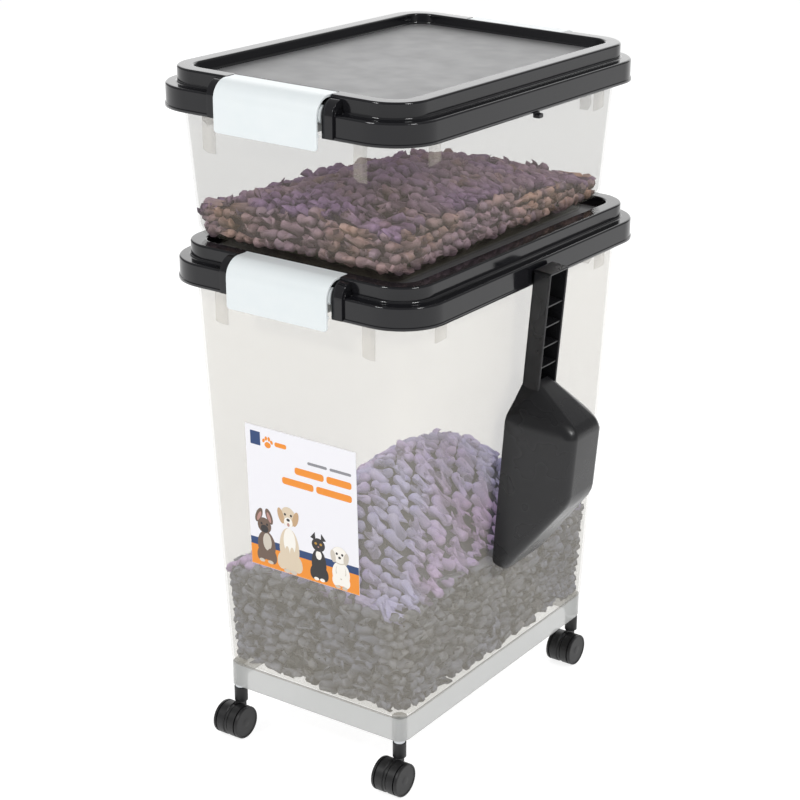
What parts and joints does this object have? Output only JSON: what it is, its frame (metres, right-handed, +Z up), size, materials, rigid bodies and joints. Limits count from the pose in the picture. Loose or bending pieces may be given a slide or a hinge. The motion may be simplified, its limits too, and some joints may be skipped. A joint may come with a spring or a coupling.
{
  "type": "pet food bin",
  "caption": "Stacking pet food storage bin: deep rolling bin and shallow bin with latching lids, a hanging scoop and swivel casters.",
  "frame": {"origin": "on the floor, under the middle of the whole set", "axes": "+Z up; -Y to the front with the label; +X to the side that the scoop hangs on"},
  "size_m": [0.3442, 0.419, 0.661],
  "materials": {
    "clear_pp": "translucent frosted polypropylene",
    "black_pp": "glossy black polypropylene",
    "milky_pp": "milky white polypropylene, satin",
    "seal_foam": "matt foam rubber",
    "label_film": "printed white film",
    "caster_nylon": "satin black nylon",
    "steel": "bright plated steel",
    "kibble": "dry baked food lumps, matt"
  },
  "bodies": {
    "lower_bin": {"lower_bin": "clear_pp", "lower_rim": "clear_pp", "front_label": "label_film", "caster_fl_stem": "steel", "caster_fl_collar": "steel", "caster_fr_stem": "steel", "caster_fr_collar": "steel", "caster_bl_stem": "steel", "caster_bl_collar": "steel", "caster_br_stem": "steel", "caster_br_collar": "steel"},
    "lower_lid": {"lower_lid": "black_pp", "lower_seal": "seal_foam"},
    "lower_front_latch": {"lower_front_latch": "milky_pp"},
    "lower_back_latch": {"lower_back_latch": "milky_pp"},
    "scoop": {"scoop": "black_pp"},
    "upper_bin": {"upper_bin": "clear_pp", "upper_rim": "clear_pp"},
    "upper_lid": {"upper_lid": "black_pp", "upper_seal": "seal_foam"},
    "upper_front_latch": {"upper_front_latch": "milky_pp"},
    "upper_back_latch": {"upper_back_latch": "milky_pp"},
    "caster_fl": {"caster_fl_hood": "caster_nylon", "caster_fl_axle": "steel"},
    "caster_fl_wheel_a": {"caster_fl_wheel_a": "caster_nylon"},
    "caster_fl_wheel_b": {"caster_fl_wheel_b": "caster_nylon"},
    "caster_fr": {"caster_fr_hood": "caster_nylon", "caster_fr_axle": "steel"},
    "caster_fr_wheel_a": {"caster_fr_wheel_a": "caster_nylon"},
    "caster_fr_wheel_b": {"caster_fr_wheel_b": "caster_nylon"},
    "caster_bl": {"caster_bl_hood": "caster_nylon", "caster_bl_axle": "steel"},
    "caster_bl_wheel_a": {"caster_bl_wheel_a": "caster_nylon"},
    "caster_bl_wheel_b": {"caster_bl_wheel_b": "caster_nylon"},
    "caster_br": {"caster_br_hood": "caster_nylon", "caster_br_axle": "steel"},
    "caster_br_wheel_a": {"caster_br_wheel_a": "caster_nylon"},
    "caster_br_wheel_b": {"caster_br_wheel_b": "caster_nylon"}
  },
  "joints": [
    {"name": "lower_lid_lift", "type": "slide", "parent": "lower_bin", "child": "lower_lid", "axis": [0, 0, 1], "range_m": [0, 0.05]},
    {"name": "lower_front_latch_hinge", "type": "hinge", "parent": "lower_lid", "child": "lower_front_latch", "pos_m": [-0.02424, -0.1798, 0.5046], "axis": [-1, 0, 0], "range_deg": [0, 80]},
    {"name": "lower_back_latch_hinge", "type": "hinge", "parent": "lower_lid", "child": "lower_back_latch", "pos_m": [-0.02424, 0.1798, 0.5046], "axis": [1, 0, 0], "range_deg": [0, 80]},
    {"name": "scoop_pull", "type": "slide", "parent": "lower_lid", "child": "scoop", "axis": [1, 0, 0], "range_m": [0, 0.04]},
    {"name": "upper_bin_lift", "type": "slide", "parent": "lower_lid", "child": "upper_bin", "axis": [0, 0, 1], "range_m": [0, 0.05]},
    {"name": "upper_lid_lift", "type": "slide", "parent": "upper_bin", "child": "upper_lid", "axis": [0, 0, 1], "range_m": [0, 0.05]},
    {"name": "upper_front_latch_hinge", "type": "hinge", "parent": "upper_lid", "child": "upper_front_latch", "pos_m": [-0.03224, -0.1798, 0.6596], "axis": [-1, 0, 0], "range_deg": [0, 80]},
    {"name": "upper_back_latch_hinge", "type": "hinge", "parent": "upper_lid", "child": "upper_back_latch", "pos_m": [-0.03224, 0.1798, 0.6596], "axis": [1, 0, 0], "range_deg": [0, 80]},
    {"name": "caster_fl_swivel", "type": "hinge", "parent": "lower_bin", "child": "caster_fl", "pos_m": [-0.11974, -0.158, 0.045], "axis": [0, 0, 1], "continuous": true},
    {"name": "caster_fl_wheel_a_spin", "type": "hinge", "parent": "caster_fl", "child": "caster_fl_wheel_a", "pos_m": [-0.11974, -0.168, 0.0165], "axis": [1, 0, 0], "continuous": true},
    {"name": "caster_fl_wheel_b_spin", "type": "hinge", "parent": "caster_fl", "child": "caster_fl_wheel_b", "pos_m": [-0.11974, -0.168, 0.0165], "axis": [1, 0, 0], "continuous": true},
    {"name": "caster_fr_swivel", "type": "hinge", "parent": "lower_bin", "child": "caster_fr", "pos_m": [0.07126, -0.158, 0.045], "axis": [0, 0, 1], "continuous": true},
    {"name": "caster_fr_wheel_a_spin", "type": "hinge", "parent": "caster_fr", "child": "caster_fr_wheel_a", "pos_m": [0.07126, -0.168, 0.0165], "axis": [1, 0, 0], "continuous": true},
    {"name": "caster_fr_wheel_b_spin", "type": "hinge", "parent": "caster_fr", "child": "caster_fr_wheel_b", "pos_m": [0.07126, -0.168, 0.0165], "axis": [1, 0, 0], "continuous": true},
    {"name": "caster_bl_swivel", "type": "hinge", "parent": "lower_bin", "child": "caster_bl", "pos_m": [-0.11974, 0.158, 0.045], "axis": [0, 0, 1], "continuous": true},
    {"name": "caster_bl_wheel_a_spin", "type": "hinge", "parent": "caster_bl", "child": "caster_bl_wheel_a", "pos_m": [-0.11974, 0.148, 0.0165], "axis": [1, 0, 0], "continuous": true},
    {"name": "caster_bl_wheel_b_spin", "type": "hinge", "parent": "caster_bl", "child": "caster_bl_wheel_b", "pos_m": [-0.11974, 0.148, 0.0165], "axis": [1, 0, 0], "continuous": true},
    {"name": "caster_br_swivel", "type": "hinge", "parent": "lower_bin", "child": "caster_br", "pos_m": [0.07126, 0.158, 0.045], "axis": [0, 0, 1], "continuous": true},
    {"name": "caster_br_wheel_a_spin", "type": "hinge", "parent": "caster_br", "child": "caster_br_wheel_a", "pos_m": [0.07126, 0.148, 0.0165], "axis": [1, 0, 0], "continuous": true},
    {"name": "caster_br_wheel_b_spin", "type": "hinge", "parent": "caster_br", "child": "caster_br_wheel_b", "pos_m": [0.07126, 0.148, 0.0165], "axis": [1, 0, 0], "continuous": true}
  ]
}
